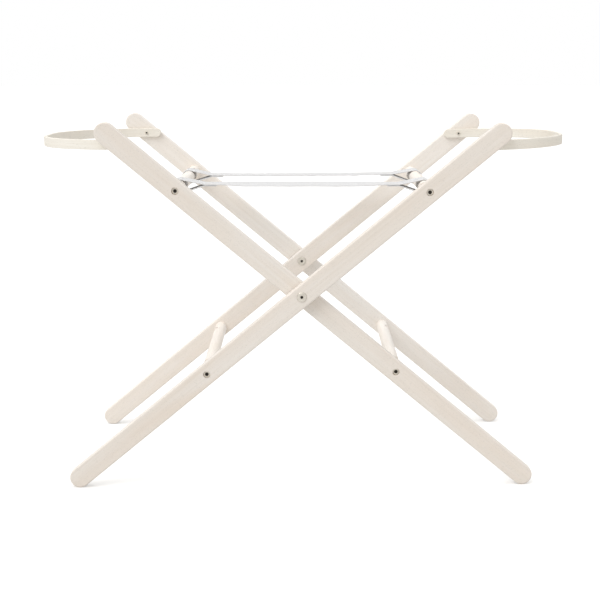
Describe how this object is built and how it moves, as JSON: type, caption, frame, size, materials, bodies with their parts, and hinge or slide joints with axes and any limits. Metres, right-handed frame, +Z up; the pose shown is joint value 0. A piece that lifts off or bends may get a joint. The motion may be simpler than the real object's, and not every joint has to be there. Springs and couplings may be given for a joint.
{
  "type": "bassinet stand",
  "caption": "Folding stand for a bassinet basket: crossed round-ended wooden legs, round rails, webbing straps and a swivelling bent-wood hoop at each end.",
  "frame": {"origin": "on the floor, midway between the feet, under the crossing of the legs", "axes": "+X along the stand towards the right-hand hoop, +Y to the rear, +Z up"},
  "size_m": [0.7895, 0.3522, 0.539],
  "materials": {
    "leg_wood": "pale whitewashed beech, satin",
    "rail_wood": "pale whitewashed beech, satin",
    "hoop_wood": "bent laminated beech, pale, satin",
    "webbing": "woven white webbing",
    "steel": "zinc-plated, satin",
    "nylon": "matt"
  },
  "bodies": {
    "left_frame": {"left_frame_front_leg": "leg_wood", "left_frame_rear_leg": "leg_wood", "left_frame_upper_rail": "rail_wood", "left_frame_lower_rail": "rail_wood", "strap_front": "webbing", "strap_rear": "webbing", "pivot_front_bolt": "steel", "pivot_front_sleeve_nut": "steel", "pivot_front_washer": "nylon", "left_upper_front_bolt": "steel", "left_upper_rear_bolt": "steel", "left_lower_front_bolt": "steel", "left_lower_rear_bolt": "steel", "left_upper_front_nut": "steel", "left_upper_rear_nut": "steel", "left_lower_front_nut": "steel", "left_lower_rear_nut": "steel", "hoop_left_front_screw": "steel", "hoop_left_rear_screw": "steel", "hoop_left_front_washer": "nylon", "hoop_left_rear_washer": "nylon"},
    "right_frame": {"right_frame_front_leg": "leg_wood", "right_frame_rear_leg": "leg_wood", "right_frame_upper_rail": "rail_wood", "right_frame_lower_rail": "rail_wood", "pivot_rear_bolt": "steel", "pivot_rear_sleeve_nut": "steel", "pivot_rear_washer": "nylon", "right_upper_front_bolt": "steel", "right_upper_rear_bolt": "steel", "right_lower_front_bolt": "steel", "right_lower_rear_bolt": "steel", "right_upper_front_nut": "steel", "right_upper_rear_nut": "steel", "right_lower_front_nut": "steel", "right_lower_rear_nut": "steel", "hoop_right_front_screw": "steel", "hoop_right_rear_screw": "steel", "hoop_right_front_washer": "nylon", "hoop_right_rear_washer": "nylon"},
    "hoop_left": {"hoop_left": "hoop_wood"},
    "hoop_right": {"hoop_right": "hoop_wood"}
  },
  "joints": [
    {"name": "fold", "type": "hinge", "parent": "left_frame", "child": "right_frame", "pos_m": [0, 0, 0.28996], "axis": [0, -1, 0], "range_deg": [0, 91], "deforming": ["strap_front", "strap_rear"]},
    {"name": "hoop_left_swivel", "type": "hinge", "parent": "left_frame", "child": "hoop_left", "pos_m": [-0.26064, 0, 0.50673], "axis": [0, -1, 0], "range_deg": [-40, 124]},
    {"name": "hoop_right_swivel", "type": "hinge", "parent": "right_frame", "child": "hoop_right", "pos_m": [0.26064, 0, 0.50673], "axis": [0, 1, 0], "range_deg": [-38, 126]}
  ]
}
